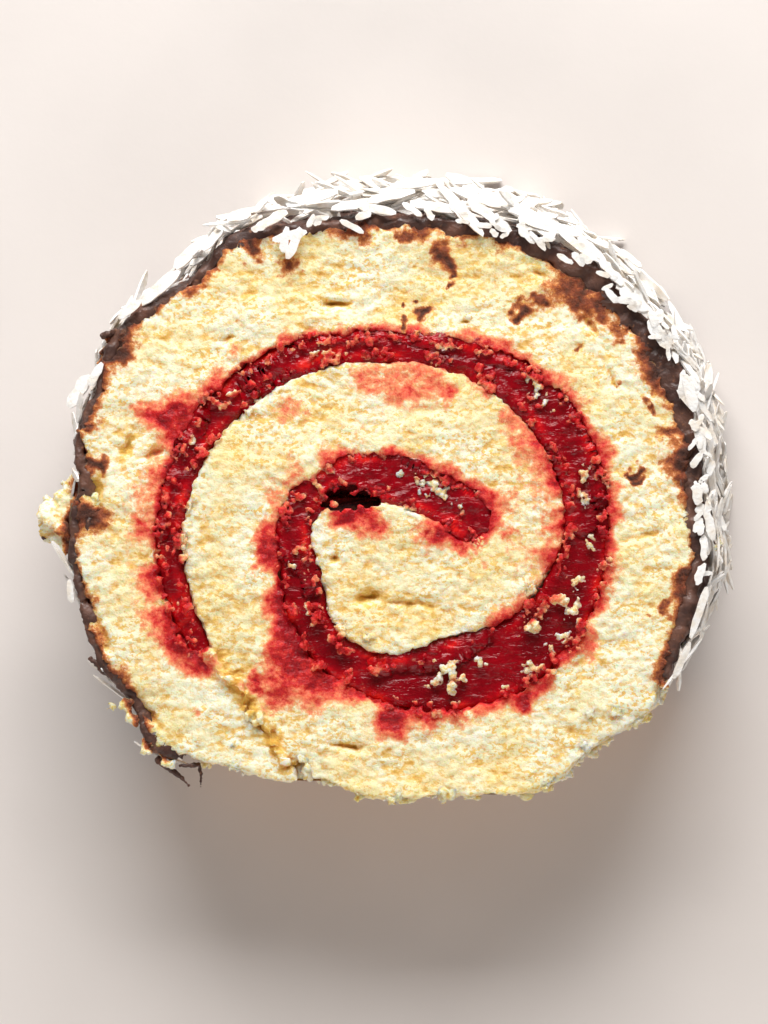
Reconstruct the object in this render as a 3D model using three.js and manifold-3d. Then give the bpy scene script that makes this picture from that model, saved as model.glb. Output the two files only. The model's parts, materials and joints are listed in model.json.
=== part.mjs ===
// A slice of swiss roll lying on its cut face. A vanilla sponge sheet is rolled up with red
// berry jam, and a dark chocolate coat covers the roll's back and sides, open underneath.
// Millimetres, +Z up. The slice rests on z = 0 with the spiral face up, and +Y is the side
// that was the roll's top. The origin is under the middle of the slice.
import * as THREE from 'three';
import Module from 'manifold-3d';
import { mergeVertices } from 'three/addons/utils/BufferGeometryUtils.js';

const wasm = await Module();
wasm.setup();

// The slice
const SLICE_THICKNESS = 25;
const CLEARANCE = 0.15; // each piece draws back this far from the line it shares with the next
const LEAN = { x: 2.4, y: 2.4 }; // how far the foot of the slice stands out from its top face
const WAVE = 0.35; // the cut wanders up and down by this much
const BULGE = 0.007; // the weight of the slice swells it by this share at half its height
const WALL_WANDER = 0.4; // and its walls wander sideways by this much

// The rolled outline: a squarish oval with swellings and dents. Angles are in degrees from +X.
const ROLL_HALF_WIDTH = 41.4;
const ROLL_HALF_HEIGHT = 37.8;
const ROLL_SQUARENESS = 2.25;
const ROLL_STEPS = 150;
const SWELLINGS = [
  { at: 65, by: 0.6, over: 14 },
  { at: 119, by: 0.9, over: 6 },
  { at: 132, by: -1.7, over: 8 },
  { at: 160, by: -1.2, over: 5 },
  { at: 176, by: -1.8, over: 5 },
  { at: 209, by: 0.9, over: 8 },
  { at: 227, by: 3.5, over: 7 },
  { at: 257, by: -1.7, over: 6 },
  { at: 299, by: 2.2, over: 10 },
  { at: 323, by: 2.2, over: 9 },
  { at: 345, by: 1.0, over: 10 },
];

// The jam spirals outward, anticlockwise, round a pole below the middle. Its reach from the
// pole and its thickness are given at equal steps of turn, from the inner end to the outer.
const POLE = { x: 2, y: -8 };
const JAM_START = 37;
const JAM_STEP = 37.5;
const JAM_REACH = [11.1, 10.8, 12.7, 14.8, 12.9, 13.9, 14.2, 15.4, 20.5, 25.1, 28.1, 28.8, 30.8, 30.5, 28.4];
const JAM_THICKNESS = [5.4, 5.7, 5.6, 3.7, 4.6, 4.7, 6.0, 9.0, 8.0, 5.3, 5.2, 3.2, 4.1, 3.2, 2.4];
const JAM_PIECES = 96;
const JAM_SINK = 0.7; // the jam lies this much lower than the sponge
const JAM_END_PIECES = 6;

// The seam where the sheet's outer end lies on the turn beneath, from the underside inward
const SEAM_AT = 252.5;
const SEAM_COURSE = [[-12.6, -33], [-14.8, -30], [-16.8, -27], [-19.6, -23]];
const SEAM_PIECES = 12;
const SEAM_WIDTH = 0.4;
const SEAM_MOUTH = 1.2;
const SEAM_FLARE = 0.15; // share of the seam over which its mouth closes up
const SEAM_LIP = 2.2; // degrees from the seam's middle to where its lips round over

// The hole left in the jam beside the innermost curl
const HOLE = { x: -5.1, y: 0.7, halfWidth: 3.4, halfHeight: 2.0, depth: 10 };
const HOLE_STEPS = 28;

// The chocolate coat, thickest on the shoulder that leans outward
const COAT_START = -32;
const COAT_END = 229;
const COAT_STEPS = 100;
const COAT_THIN = 1.2;
const COAT_EXTRA = 1.6;
const COAT_THICK_AT = 35;
const COAT_THICK_OVER = 45;
const COAT_TAPER = 10; // degrees over which the coat thins out at its two ends
const COAT_MARGIN = 3; // degrees that the sponge stays back past the coat's ends
const COAT_TIP = 0.7; // share of the thickness that is left at the very ends

// How far every edge is rounded off at each height of a piece, from the foot to the top
const SPONGE_LEVELS = [
  { z: 0, rim: 0.3 },
  { z: 1, rim: 0 },
  { z: SLICE_THICKNESS / 2, rim: 0 },
  { z: SLICE_THICKNESS - 1.1, rim: 0 },
  { z: SLICE_THICKNESS, rim: 0.25 },
];
const JAM_LEVELS = [
  { z: 0, rim: 0.3 },
  { z: 1, rim: 0 },
  { z: SLICE_THICKNESS / 2, rim: 0 },
  { z: SLICE_THICKNESS - JAM_SINK - 0.9, rim: 0 },
  { z: SLICE_THICKNESS - JAM_SINK, rim: 0.3 },
];
const COAT_LEVELS = [
  { z: 0, rim: 0.1 },
  { z: 1, rim: 0 },
  { z: SLICE_THICKNESS / 2, rim: 0 },
  { z: SLICE_THICKNESS - 0.9, rim: 0 },
  { z: SLICE_THICKNESS - 0.3, rim: 0.15 },
];

const spongeMaterial = new THREE.MeshStandardMaterial({ color: 0xf6dda6, roughness: 0.92, metalness: 0 });
const jamMaterial = new THREE.MeshStandardMaterial({ color: 0x8f1a22, roughness: 0.22, metalness: 0 });
const chocolateMaterial = new THREE.MeshStandardMaterial({ color: 0x4a3029, roughness: 0.4, metalness: 0 });

const radians = (degrees) => THREE.MathUtils.degToRad(degrees);

// A hump of height 1 at zero, which fades out within about twice its half-spread
function hump(distance, halfSpread) {
  return Math.exp(-((distance / halfSpread) ** 2));
}

// The shortest turn from one angle to another, in degrees
function turnBetween(from, to) {
  return THREE.MathUtils.euclideanModulo(to - from + 180, 360) - 180;
}

// A smooth value through equally spaced stations
function between(stations, place) {
  const last = stations.length - 1;
  const i = Math.min(Math.floor(place), last - 1);
  const near = (k) => stations[THREE.MathUtils.clamp(k, 0, last)];
  const t = place - i;
  const bend = 2 * near(i - 1) - 5 * near(i) + 4 * near(i + 1) - near(i + 2);
  const curl = -near(i - 1) + 3 * near(i) - 3 * near(i + 1) + near(i + 2);
  return near(i) + 0.5 * t * (near(i + 1) - near(i - 1) + t * (bend + t * curl));
}

function polar(radius, degrees) {
  return new THREE.Vector2(radius * Math.cos(radians(degrees)), radius * Math.sin(radians(degrees)));
}

// The roll's outer line, coat included
function rollRadius(degrees) {
  const across = (Math.abs(Math.cos(radians(degrees))) / ROLL_HALF_WIDTH) ** ROLL_SQUARENESS;
  const along = (Math.abs(Math.sin(radians(degrees))) / ROLL_HALF_HEIGHT) ** ROLL_SQUARENESS;
  let radius = (across + along) ** (-1 / ROLL_SQUARENESS);
  for (const swelling of SWELLINGS) {
    radius += swelling.by * hump(turnBetween(swelling.at, degrees), swelling.over);
  }
  return radius;
}

// The coat's thickness at an angle from COAT_START to COAT_END, thinning out at both ends
function coatThickness(degrees) {
  const full = COAT_THIN + COAT_EXTRA * hump(degrees - COAT_THICK_AT, COAT_THICK_OVER);
  const fromEnd = Math.min(degrees - COAT_START, COAT_END - degrees);
  return full * THREE.MathUtils.lerp(COAT_TIP, 1, THREE.MathUtils.smoothstep(fromEnd, 0, COAT_TAPER));
}

// How far the sponge keeps back from the roll's outer line to make room for the coat
function roomForCoat(degrees) {
  const first = COAT_START - COAT_MARGIN;
  const turned = THREE.MathUtils.euclideanModulo(degrees - first, 360) + first;
  if (turned > COAT_END + COAT_MARGIN) return 0;
  return coatThickness(THREE.MathUtils.clamp(turned, COAT_START, COAT_END)) + CLEARANCE;
}

// The middle line of the jam, from the outer end to the inner end, with its half-thickness
function jamCourse() {
  const stations = JAM_REACH.length - 1;
  const course = [];
  for (let i = 0; i <= JAM_PIECES; i += 1) {
    const place = stations * (1 - i / JAM_PIECES);
    const point = polar(between(JAM_REACH, place), JAM_START + JAM_STEP * place);
    point.add(POLE);
    course.push({ point, half: between(JAM_THICKNESS, place) / 2 });
  }
  return course;
}

// The middle line of the seam, from the underside of the roll up to the jam
function seamCourse(jamEnd) {
  const points = SEAM_COURSE.map(([x, y]) => new THREE.Vector2(x, y));
  const mouth = polar(rollRadius(SEAM_AT) - 1, SEAM_AT);
  const curve = new THREE.SplineCurve([mouth, ...points, jamEnd]);
  const course = [];
  for (let i = 0; i < SEAM_PIECES; i += 1) {
    const share = i / SEAM_PIECES;
    const opened = SEAM_MOUTH * hump(share, SEAM_FLARE);
    course.push({ point: curve.getPoint(share), half: (SEAM_WIDTH + opened) / 2 });
  }
  return course;
}

// The two sides of a band along its middle line: left of the way it runs, and right
function bandSides(course, extra) {
  const left = [];
  const right = [];
  course.forEach(({ point, half }, i) => {
    const before = course[Math.max(i - 1, 0)].point;
    const after = course[Math.min(i + 1, course.length - 1)].point;
    const along = after.clone().sub(before).normalize();
    const aside = new THREE.Vector2(-along.y, along.x).multiplyScalar(half + extra);
    left.push(point.clone().add(aside));
    right.push(point.clone().sub(aside));
  });
  return { left, right };
}

// A half circle of points that rounds off a band's end, from one side point to the other
function roundEnd(from, to, pieces) {
  const centre = from.clone().add(to).multiplyScalar(0.5);
  const arm = from.clone().sub(centre);
  const points = [];
  for (let i = 1; i < pieces; i += 1) {
    const angle = (Math.PI * i) / pieces;
    points.push(centre.clone().add(arm.clone().rotateAround(new THREE.Vector2(), angle)));
  }
  return points;
}

// Sponge seen from above: the rolled sheet's whole edge as one line, out round the roll, in
// along the seam and the jam's outward side, round its inner end and back out
function spongeOutline(rim) {
  const jam = jamCourse();
  const { left, right } = bandSides([...seamCourse(jam[0].point), ...jam], CLEARANCE + rim);
  const round = [];
  for (let i = 0; i <= ROLL_STEPS; i += 1) {
    const angle = SEAM_AT + THREE.MathUtils.lerp(SEAM_LIP, 360 - SEAM_LIP, i / ROLL_STEPS);
    round.push(polar(rollRadius(angle) - roomForCoat(angle) - rim, angle));
  }
  const tip = roundEnd(right.at(-1), left.at(-1), JAM_END_PIECES);
  return [...round, ...left, ...tip.reverse(), ...right.reverse()];
}

// Jam seen from above
function jamOutline(rim) {
  const { left, right } = bandSides(jamCourse(), -CLEARANCE - rim);
  const inner = roundEnd(right.at(-1), left.at(-1), JAM_END_PIECES);
  const outer = roundEnd(left[0], right[0], JAM_END_PIECES);
  return [...right, ...inner, ...left.reverse(), ...outer];
}

// Chocolate seen from above: out along the roll's outer line and back along the sponge
function coatOutline(rim) {
  const outside = [];
  const inside = [];
  for (let i = 0; i <= COAT_STEPS; i += 1) {
    const angle = THREE.MathUtils.lerp(COAT_START, COAT_END, i / COAT_STEPS);
    const radius = rollRadius(angle);
    outside.push(polar(radius - rim, angle));
    inside.push(polar(radius - coatThickness(angle) + CLEARANCE + rim, angle));
  }
  return [...outside, ...inside.reverse()];
}

// Where a point of the upright drawing comes to lie in the leaning, sagging slice
function settled(point, z) {
  const up = z / SLICE_THICKNESS;
  const swell = 1 + BULGE * Math.sin(Math.PI * up);
  const x = point.x * swell + LEAN.x * (1 - up) + WALL_WANDER * Math.sin(0.21 * z + 0.07 * point.y);
  const y = point.y * swell + LEAN.y * (1 - up) + WALL_WANDER * Math.sin(0.17 * z + 0.09 * point.x);
  const wave = WAVE * up * (Math.sin(0.12 * point.x + 1) + Math.cos(0.1 * point.y - 0.6));
  return [x, y, z + wave];
}

// A closed solid from one outline per level, walls between the levels and a cap at each end
function layered(outlineAt, levels) {
  const rings = levels.map(({ rim }) => outlineAt(rim));
  const count = rings[0].length;
  const positions = [];
  rings.forEach((ring, level) => {
    for (const point of ring) positions.push(...settled(point, levels[level].z));
  });
  const triangles = [];
  for (let level = 0; level + 1 < rings.length; level += 1) {
    for (let i = 0; i < count; i += 1) {
      const a = level * count + i;
      const b = level * count + ((i + 1) % count);
      triangles.push(a, b, b + count, a, b + count, a + count);
    }
  }
  const top = (rings.length - 1) * count;
  for (const [a, b, c] of THREE.ShapeUtils.triangulateShape(rings[0], [])) triangles.push(a, c, b);
  for (const [a, b, c] of THREE.ShapeUtils.triangulateShape(rings.at(-1), [])) {
    triangles.push(top + a, top + b, top + c);
  }
  const geometry = new THREE.BufferGeometry();
  geometry.setAttribute('position', new THREE.Float32BufferAttribute(positions, 3));
  geometry.setIndex(triangles);
  geometry.computeVertexNormals();
  return geometry;
}

function toSolid(geometry) {
  const bare = geometry.clone();
  bare.deleteAttribute('normal');
  bare.deleteAttribute('uv');
  const merged = mergeVertices(bare);
  return new wasm.Manifold(
    new wasm.Mesh({
      numProp: 3,
      vertProperties: Float32Array.from(merged.attributes.position.array),
      triVerts: Uint32Array.from(merged.index.array),
    }),
  );
}

function toGeometry(solid) {
  const mesh = solid.getMesh();
  const geometry = new THREE.BufferGeometry();
  geometry.setAttribute('position', new THREE.BufferAttribute(mesh.vertProperties, 3));
  geometry.setIndex(new THREE.BufferAttribute(mesh.triVerts, 1));
  geometry.computeVertexNormals();
  return geometry;
}

// The plug of empty space that the jam's hole is cut with
function holePlug() {
  const oval = new THREE.Shape();
  oval.absellipse(HOLE.x, HOLE.y, HOLE.halfWidth, HOLE.halfHeight, 0, 2 * Math.PI, false, 0);
  const plug = new THREE.ExtrudeGeometry(oval, {
    depth: 2 * HOLE.depth,
    bevelEnabled: false,
    curveSegments: HOLE_STEPS,
  });
  return plug.translate(0, 0, SLICE_THICKNESS - HOLE.depth);
}

function spongeMesh() {
  return new THREE.Mesh(layered(spongeOutline, SPONGE_LEVELS), spongeMaterial);
}

function jamMesh() {
  const band = toSolid(layered(jamOutline, JAM_LEVELS));
  return new THREE.Mesh(toGeometry(band.subtract(toSolid(holePlug()))), jamMaterial);
}

function chocolateMesh() {
  return new THREE.Mesh(layered(coatOutline, COAT_LEVELS), chocolateMaterial);
}

const group = new THREE.Group();
for (const [name, build] of [['sponge', spongeMesh], ['jam', jamMesh], ['chocolate', chocolateMesh]]) {
  const mesh = build();
  mesh.name = name;
  group.add(mesh);
}

// Stand the middle of the slice over the origin
const middle = new THREE.Box3().setFromObject(group).getCenter(new THREE.Vector3());
group.position.set(-middle.x, -middle.y, 0);

export default group;
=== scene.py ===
"""A slice of swiss roll lying on its cut face: torn vanilla sponge, a spiral of red berry jam,
a dark chocolate coat open underneath, and coconut shreds stuck on the coat.

Metres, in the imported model's frame: +Z up, the slice rests on z = 0, and +Y is the side that
was the roll's top. Places on the spiral face are given in millimetres from the roll's middle.
"""
import json
import math
import random

import bmesh
import bpy
from mathutils import Euler, Matrix, Vector, noise
from mathutils.bvhtree import BVHTree
from mathutils.kdtree import KDTree

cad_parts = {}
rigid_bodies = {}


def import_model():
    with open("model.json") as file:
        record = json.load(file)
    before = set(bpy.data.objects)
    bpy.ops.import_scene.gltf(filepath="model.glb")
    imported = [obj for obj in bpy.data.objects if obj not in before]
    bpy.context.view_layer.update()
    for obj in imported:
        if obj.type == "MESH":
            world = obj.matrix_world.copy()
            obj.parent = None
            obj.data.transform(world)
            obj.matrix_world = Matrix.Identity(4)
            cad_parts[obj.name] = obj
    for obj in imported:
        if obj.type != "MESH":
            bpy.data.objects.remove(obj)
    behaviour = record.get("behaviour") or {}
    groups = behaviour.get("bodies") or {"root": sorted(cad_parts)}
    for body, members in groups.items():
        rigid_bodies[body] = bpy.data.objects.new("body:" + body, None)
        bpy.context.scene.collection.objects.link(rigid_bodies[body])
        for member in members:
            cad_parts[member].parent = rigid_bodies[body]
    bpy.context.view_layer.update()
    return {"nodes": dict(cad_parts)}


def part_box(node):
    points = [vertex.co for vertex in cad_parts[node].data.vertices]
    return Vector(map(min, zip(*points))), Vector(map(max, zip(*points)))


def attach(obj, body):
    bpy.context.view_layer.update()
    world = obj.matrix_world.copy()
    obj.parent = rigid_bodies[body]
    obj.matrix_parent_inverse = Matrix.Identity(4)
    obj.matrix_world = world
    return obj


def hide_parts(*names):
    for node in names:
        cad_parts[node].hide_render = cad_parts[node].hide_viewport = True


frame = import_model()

MM = 0.001

# Where the roll's own middle lies at the top of the slice, and the pole that its jam winds round
ROLL_MIDDLE = Vector((-1.4, -1.4)) * MM
JAM_POLE = Vector((0.6, -9.4)) * MM
SLICE_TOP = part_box("sponge")[1][2]

# The sponge is made in two lifts: the cut face with its rim, and the body below it
FACE_DEPTH = 3.0 * MM
FACE_SPARE = 0.8 * MM
FACE_GRAIN = 0.27 * MM
BODY_GRAIN = 0.56 * MM
BODY_LAP = 0.5 * MM
JAM_FACE_DEPTH = 1.5 * MM
JAM_FACE_GRAIN = 0.24 * MM
JAM_GRAIN = 0.5 * MM
COAT_GRAIN = 0.4 * MM

# The hollow that the first turn leaves at the middle: place, half-length, half-width and turn
HOLLOW = (-5.0, 1.3, 3.5, 1.3, 6.0)
HOLLOW_FLOOR = 9.0 * MM

# Pieces that reach the table stand this far above it
LIFT_OFF_TABLE = 0.02 * MM

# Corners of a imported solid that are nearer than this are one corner
SAME_PLACE = 0.002 * MM

# Spacing of the points that distances to an edge are measured from
EDGE_POINTS_APART = 0.4 * MM

# Places far enough apart in the noise to give three pushes that have nothing to do with each other
DRIFT_APART = (Vector((9.3, -1.5, -7.9)), Vector((0, 0, 0)), Vector((6.3, 0.2, -2.7)))

# How much stronger every soaked or stained spot is than its row says, and the most that it can be
SPOT_STRENGTH = 1.25
STRONGEST_SPOT = 0.95

# Jam that has soaked into the crumb: place on the face, spread and strength
JAM_SOAKS = (
    (21.0, 9.0, 4.0, 0.55), (22.7, 4.5, 2.4, 0.6), (23.2, -1.5, 2.3, 0.6), (22.0, -7.0, 2.5, 0.55),
    (18.0, 2.0, 3.0, 0.16), (19.0, -6.0, 3.0, 0.16), (15.5, -15.5, 2.4, 0.65), (18.5, -12.5, 2.0, 0.5),
    (0.0, 17.3, 4.0, 0.3), (6.0, 16.0, 3.0, 0.3), (-13.0, 13.0, 1.8, 0.3), (3.0, 15.0, 1.8, 0.32),
    (8.5, 15.5, 1.4, 0.4), (-3.0, 16.5, 1.6, 0.3), (13.0, 16.0, 2.0, 0.4), (16.5, 11.5, 1.6, 0.3),
    (-30.0, -2.0, 3.0, 0.3), (-30.5, -9.0, 2.2, 0.6), (-30.0, 4.0, 2.4, 0.4), (-28.0, 11.5, 2.8, 0.85),
    (-31.0, 12.0, 1.6, 0.35), (-27.0, -18.0, 2.4, 0.6), (-29.5, -14.0, 2.0, 0.5),
    (-23.5, -21.0, 1.8, 0.5), (-32.5, -2.5, 1.0, 0.4), (-24.5, -27.0, 1.2, 0.25),
    (-15.0, -6.0, 2.2, 0.6), (-16.8, -5.0, 1.2, 0.35), (-13.0, -12.0, 2.4, 0.7),
    (-12.0, -16.5, 2.8, 0.85), (-12.0, -20.5, 2.8, 0.8), (-14.0, -23.5, 2.0, 0.5),
    (-9.0, -23.0, 2.8, 0.7), (-17.0, -22.5, 1.3, 0.55), (-13.0, -25.5, 1.3, 0.4),
    (-15.0, -18.0, 1.4, 0.35), (1.0, -27.0, 2.2, 0.75), (1.6, -29.5, 1.1, 0.4), (5.0, -26.0, 2.0, 0.55),
    (12.0, -26.0, 1.8, 0.4), (18.5, -25.5, 1.3, 0.75), (22.5, -20.0, 1.5, 0.4), (-4.0, -0.6, 2.6, 0.9),
    (-1.0, -2.0, 1.7, 0.45), (7.0, -3.3, 2.2, 0.75), (10.0, -4.0, 2.0, 0.7), (13.0, -7.5, 1.0, 0.3),
    (16.5, -3.0, 1.0, 0.3), (-39.8, 5.0, 1.1, 0.6), (29.0, 8.0, 1.3, 0.3), (-35.0, 17.5, 1.6, 0.14),
    (24.0, 12.5, 1.8, 0.5),
)

# Chocolate dragged over the cut: place on the face, spread and strength
CHOCOLATE_STAINS = (
    (16.6, 25.0, 0.9, 0.65), (18.4, 25.8, 1.0, 0.7), (20.2, 26.7, 0.9, 0.6), (17.5, 25.6, 0.7, 0.5),
    (32.4, 4.6, 0.7, 0.9), (33.3, 4.8, 0.6, 0.8), (32.9, 3.3, 0.55, 0.9), (7.6, 34.0, 1.4, 0.5),
    (8.0, 32.0, 1.2, 0.7), (8.3, 30.0, 0.6, 0.9), (8.5, 28.2, 0.5, 0.9), (4.3, 27.0, 0.45, 0.7),
    (3.0, 26.0, 0.4, 0.7), (4.6, 25.0, 0.7, 0.8), (2.5, 24.0, 0.5, 0.6), (4.5, 23.3, 0.4, 0.5),
    (23.0, 28.2, 2.0, 0.5), (25.5, 26.7, 1.8, 0.55), (28.0, 25.5, 1.5, 0.55), (30.2, 23.4, 1.3, 0.4),
    (33.8, 20.5, 1.5, 0.6), (35.0, 18.3, 1.7, 0.65), (36.3, 15.0, 1.4, 0.5), (37.0, 10.0, 1.6, 0.45),
    (38.6, 6.0, 1.8, 0.75), (38.6, -9.0, 1.2, 0.7), (38.7, -12.0, 1.2, 0.7), (34.0, -14.0, 0.5, 0.5),
    (36.0, -13.2, 0.6, 0.5), (-37.6, 5.3, 1.3, 0.9), (-38.2, -2.0, 1.8, 1.0), (-34.0, 21.0, 2.0, 0.6),
    (-35.5, 20.0, 1.5, 0.8), (-38.0, 11.0, 1.2, 0.5), (-17.0, 33.3, 1.6, 0.55), (-12.5, 31.6, 1.2, 0.5),
    (3.0, 35.2, 1.2, 0.5), (15.0, 34.4, 1.5, 0.5), (-25.0, 30.3, 1.2, 0.5), (-30.0, 26.4, 1.2, 0.5),
    (-43.2, -3.2, 0.9, 0.9), (-40.6, -2.4, 0.8, 0.8), (-40.6, 3.9, 0.8, 0.6), (-3.0, 35.6, 1.5, 0.45),
    (34.0, 12.5, 0.5, 0.5), (30.5, 15.0, 0.45, 0.4), (25.2, 20.7, 0.4, 0.5),
)

# Deep pits torn in the crumb: place on the face, half-length, half-width, turn and depth
TORN_PITS = (
    (-6.5, 26.5, 2.0, 0.5, 0, 1.2), (-30.0, 7.2, 1.4, 0.6, 35, 1.4), (-2.0, -11.6, 1.5, 0.7, 10, 1.6),
    (2.5, -12.4, 3.4, 0.35, -4, 0.6), (-6.5, -6.5, 0.5, 0.45, 0, 1.1), (-33.5, 8.0, 1.6, 0.7, 60, 0.9),
    (10.5, 24.2, 0.6, 0.4, 0, 0.9), (27.0, 23.5, 1.4, 0.4, -50, 0.8), (29.5, 17.0, 2.4, 0.35, -65, 0.6),
    (-17.0, -27.2, 2.6, 0.35, -60, 1.3), (-4.5, -31.0, 2.0, 0.4, -8, 1.0),
    (-36.2, -17.0, 3.4, 0.4, -68, 0.9), (-31.0, -26.0, 3.0, 0.4, -52, 0.9),
    (0.5, 2.9, 0.6, 0.3, 20, 0.5), (20.0, 30.5, 1.3, 0.35, -20, 0.6), (-20.5, 22.0, 1.2, 0.4, 15, 0.7),
    (-37.4, 2.0, 0.9, 2.0, 0, 1.1), (34.0, -3.5, 2.2, 0.4, 12, 0.5),
)

# Crumbs that stick on the jam: place on the face and size
CRUMBS_ON_JAM = (
    (19.3, 16.6, 1.5), (19.9, 15.1, 1.2), (20.2, 13.6, 1.5), (18.6, 17.0, 0.9), (26.0, 4.6, 1.0),
    (25.7, 2.2, 1.3), (26.2, 0.8, 0.9), (25.0, -9.8, 1.3), (22.7, -12.4, 1.7), (24.4, -13.3, 1.5),
    (25.3, -14.8, 1.2), (19.0, -15.0, 1.7), (20.2, -13.4, 1.0), (8.0, -20.6, 1.4), (9.4, -21.6, 1.8),
    (8.2, -23.3, 1.7), (6.8, -22.4, 1.2), (18.6, -20.6, 1.2), (19.8, -20.9, 0.8), (-9.3, -13.2, 1.6),
    (-8.6, -14.6, 1.5), (-6.0, -16.0, 1.4), (-2.0, -17.0, 1.5), (-26.4, 0.1, 0.9), (-25.6, 0.1, 0.8),
    (-26.6, -4.0, 1.5), (-27.4, -2.9, 0.8), (6.0, 2.7, 1.6), (7.2, 1.6, 1.2), (4.6, 3.4, 1.0),
    (9.6, 0.0, 1.1), (3.4, 0.6, 1.3), (23.2, -17.0, 1.1), (15.5, -23.6, 1.1), (12.6, -20.4, 0.9),
    (-17.8, 12.9, 1.1), (-9.0, 20.2, 0.7), (-19.5, 14.8, 0.8), (26.6, -4.6, 0.9), (27.0, 5.2, 0.7),
    (21.6, -18.4, 1.0), (-12.2, -7.4, 0.7), (-25.2, 8.8, 0.8), (1.8, 4.6, 0.7), (22.3, 7.0, 0.8),
)

# Sponge crumbs that cling outside the coat: place, height above the base and size
CLINGING_CRUMBS = (
    (-39.6, -1.2, 23.0, 3.0), (-41.0, -2.2, 22.6, 3.0), (-42.6, -0.9, 22.0, 2.4),
    (-40.6, -4.0, 22.6, 2.6), (-39.4, -4.9, 23.6, 1.8), (-43.8, -3.2, 21.0, 1.7),
    (-42.3, -3.6, 22.0, 2.2), (-40.2, 2.2, 22.4, 1.9), (-40.4, 4.3, 22.6, 1.5), (-43.6, 0.8, 21.0, 1.1),
    (-39.6, 6.4, 22.8, 1.2), (-38.8, 0.4, 24.2, 2.0), (-41.6, 0.6, 22.4, 1.8), (-40.0, -6.0, 23.0, 1.1),
    (-44.4, -2.0, 20.6, 0.9), (-41.4, 2.9, 22.0, 0.9), (-34.6, 21.6, 24.2, 1.5),
    (-36.0, 19.8, 23.8, 1.4), (-35.8, 21.8, 23.0, 1.0), (-31.8, 25.9, 23.2, 0.9),
    (42.9, -5.6, 21.5, 1.1), (43.4, -4.4, 20.5, 0.8), (42.4, 6.6, 20.5, 0.6), (-34.0, -25.8, 24.0, 1.2),
    (-33.0, -27.8, 24.0, 1.2), (-30.8, -31.0, 24.0, 1.1), (-28.0, -32.8, 23.8, 1.3),
    (-35.6, -25.8, 22.6, 0.7),
)

# The seam where the last turn closes on itself, from the jam's end outward: place, and how deep
# a groove is left
SEAM_LINE = (
    (-22.6, -19.0, 0.0), (-19.6, -23.0, 0.0), (-16.8, -27.0, 0.5), (-14.2, -31.0, 0.5),
    (-12.4, -33.4, 0.1),
)

# The crumb that fills the seam: half-width and depth in millimetres, and the step along it
SEAM_FILL = 1.3
SEAM_FILL_DEPTH = 4.3
SEAM_STEP = 0.6 * MM

# How far the torn rim of the sponge leans over the coat, in millimetres
RIM_OVER_COAT = 0.55

# Bits of crumb along the edges of the jam, and how far they and the crumbs on it are sunk
FLUFF_BITS = 400
FLUFF_SUNK = 0.55
JAM_CRUMB_SUNK = 0.7

# Crumbs along the bare underside, which lies between two angles round the roll
EDGE_CRUMBS = 190
BARE_EDGE = (233, 326)

# Chocolate drips and flakes, each a row of places from thick to thin: x, y, height, radius
CHOCOLATE_DRIPS = (
    (
        (-29.5, -33.0, 22.5, 0.75), (-28.0, -34.0, 22.3, 0.6),
        (-26.8, -35.0, 22.2, 0.45), (-25.6, -36.2, 22.0, 0.28),
    ),
    ((-24.3, -33.4, 23.0, 0.4), (-24.0, -34.8, 22.6, 0.34), (-24.1, -36.4, 22.2, 0.2)),
    ((-26.6, -33.6, 23.4, 0.4), (-25.2, -33.5, 23.4, 0.3), (-24.4, -33.5, 23.2, 0.3)),
    ((-38.4, -19.6, 23.5, 0.5), (-37.0, -21.0, 23.4, 0.6), (-36.0, -22.0, 23.0, 0.4)),
    ((-44.6, -3.9, 21.0, 0.55), (-43.4, -3.9, 21.4, 0.6), (-42.2, -3.8, 21.8, 0.4)),
    ((-38.4, -1.0, 24.8, 0.7), (-38.6, -2.6, 24.7, 0.8), (-38.2, -4.0, 24.6, 0.5)),
    ((-38.6, 6.0, 24.4, 0.6), (-37.8, 5.0, 24.6, 0.5), (-37.6, 4.2, 24.6, 0.3)),
    ((42.6, -3.0, 21.0, 0.4), (43.2, -4.6, 20.8, 0.5), (42.6, -6.4, 21.0, 0.35)),
    ((42.2, 7.4, 20.6, 0.35), (42.6, 6.6, 20.4, 0.3)), ((40.3, 12.4, 22.4, 0.5), (40.6, 10.8, 22.2, 0.35)),
    ((-36.8, 22.4, 23.6, 0.5), (-35.0, 23.0, 24.0, 0.6), (-33.8, 22.2, 24.4, 0.4)),
    ((-35.0, 18.8, 24.4, 0.5), (-36.2, 20.6, 24.2, 0.5)),
)

# Drips: their thickness as a share of the radius in their rows, and the steps between two places
DRIP_THICKNESS = 0.72
DRIP_STEPS = 4
DRIP_GRAIN = 0.16 * MM

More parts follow.
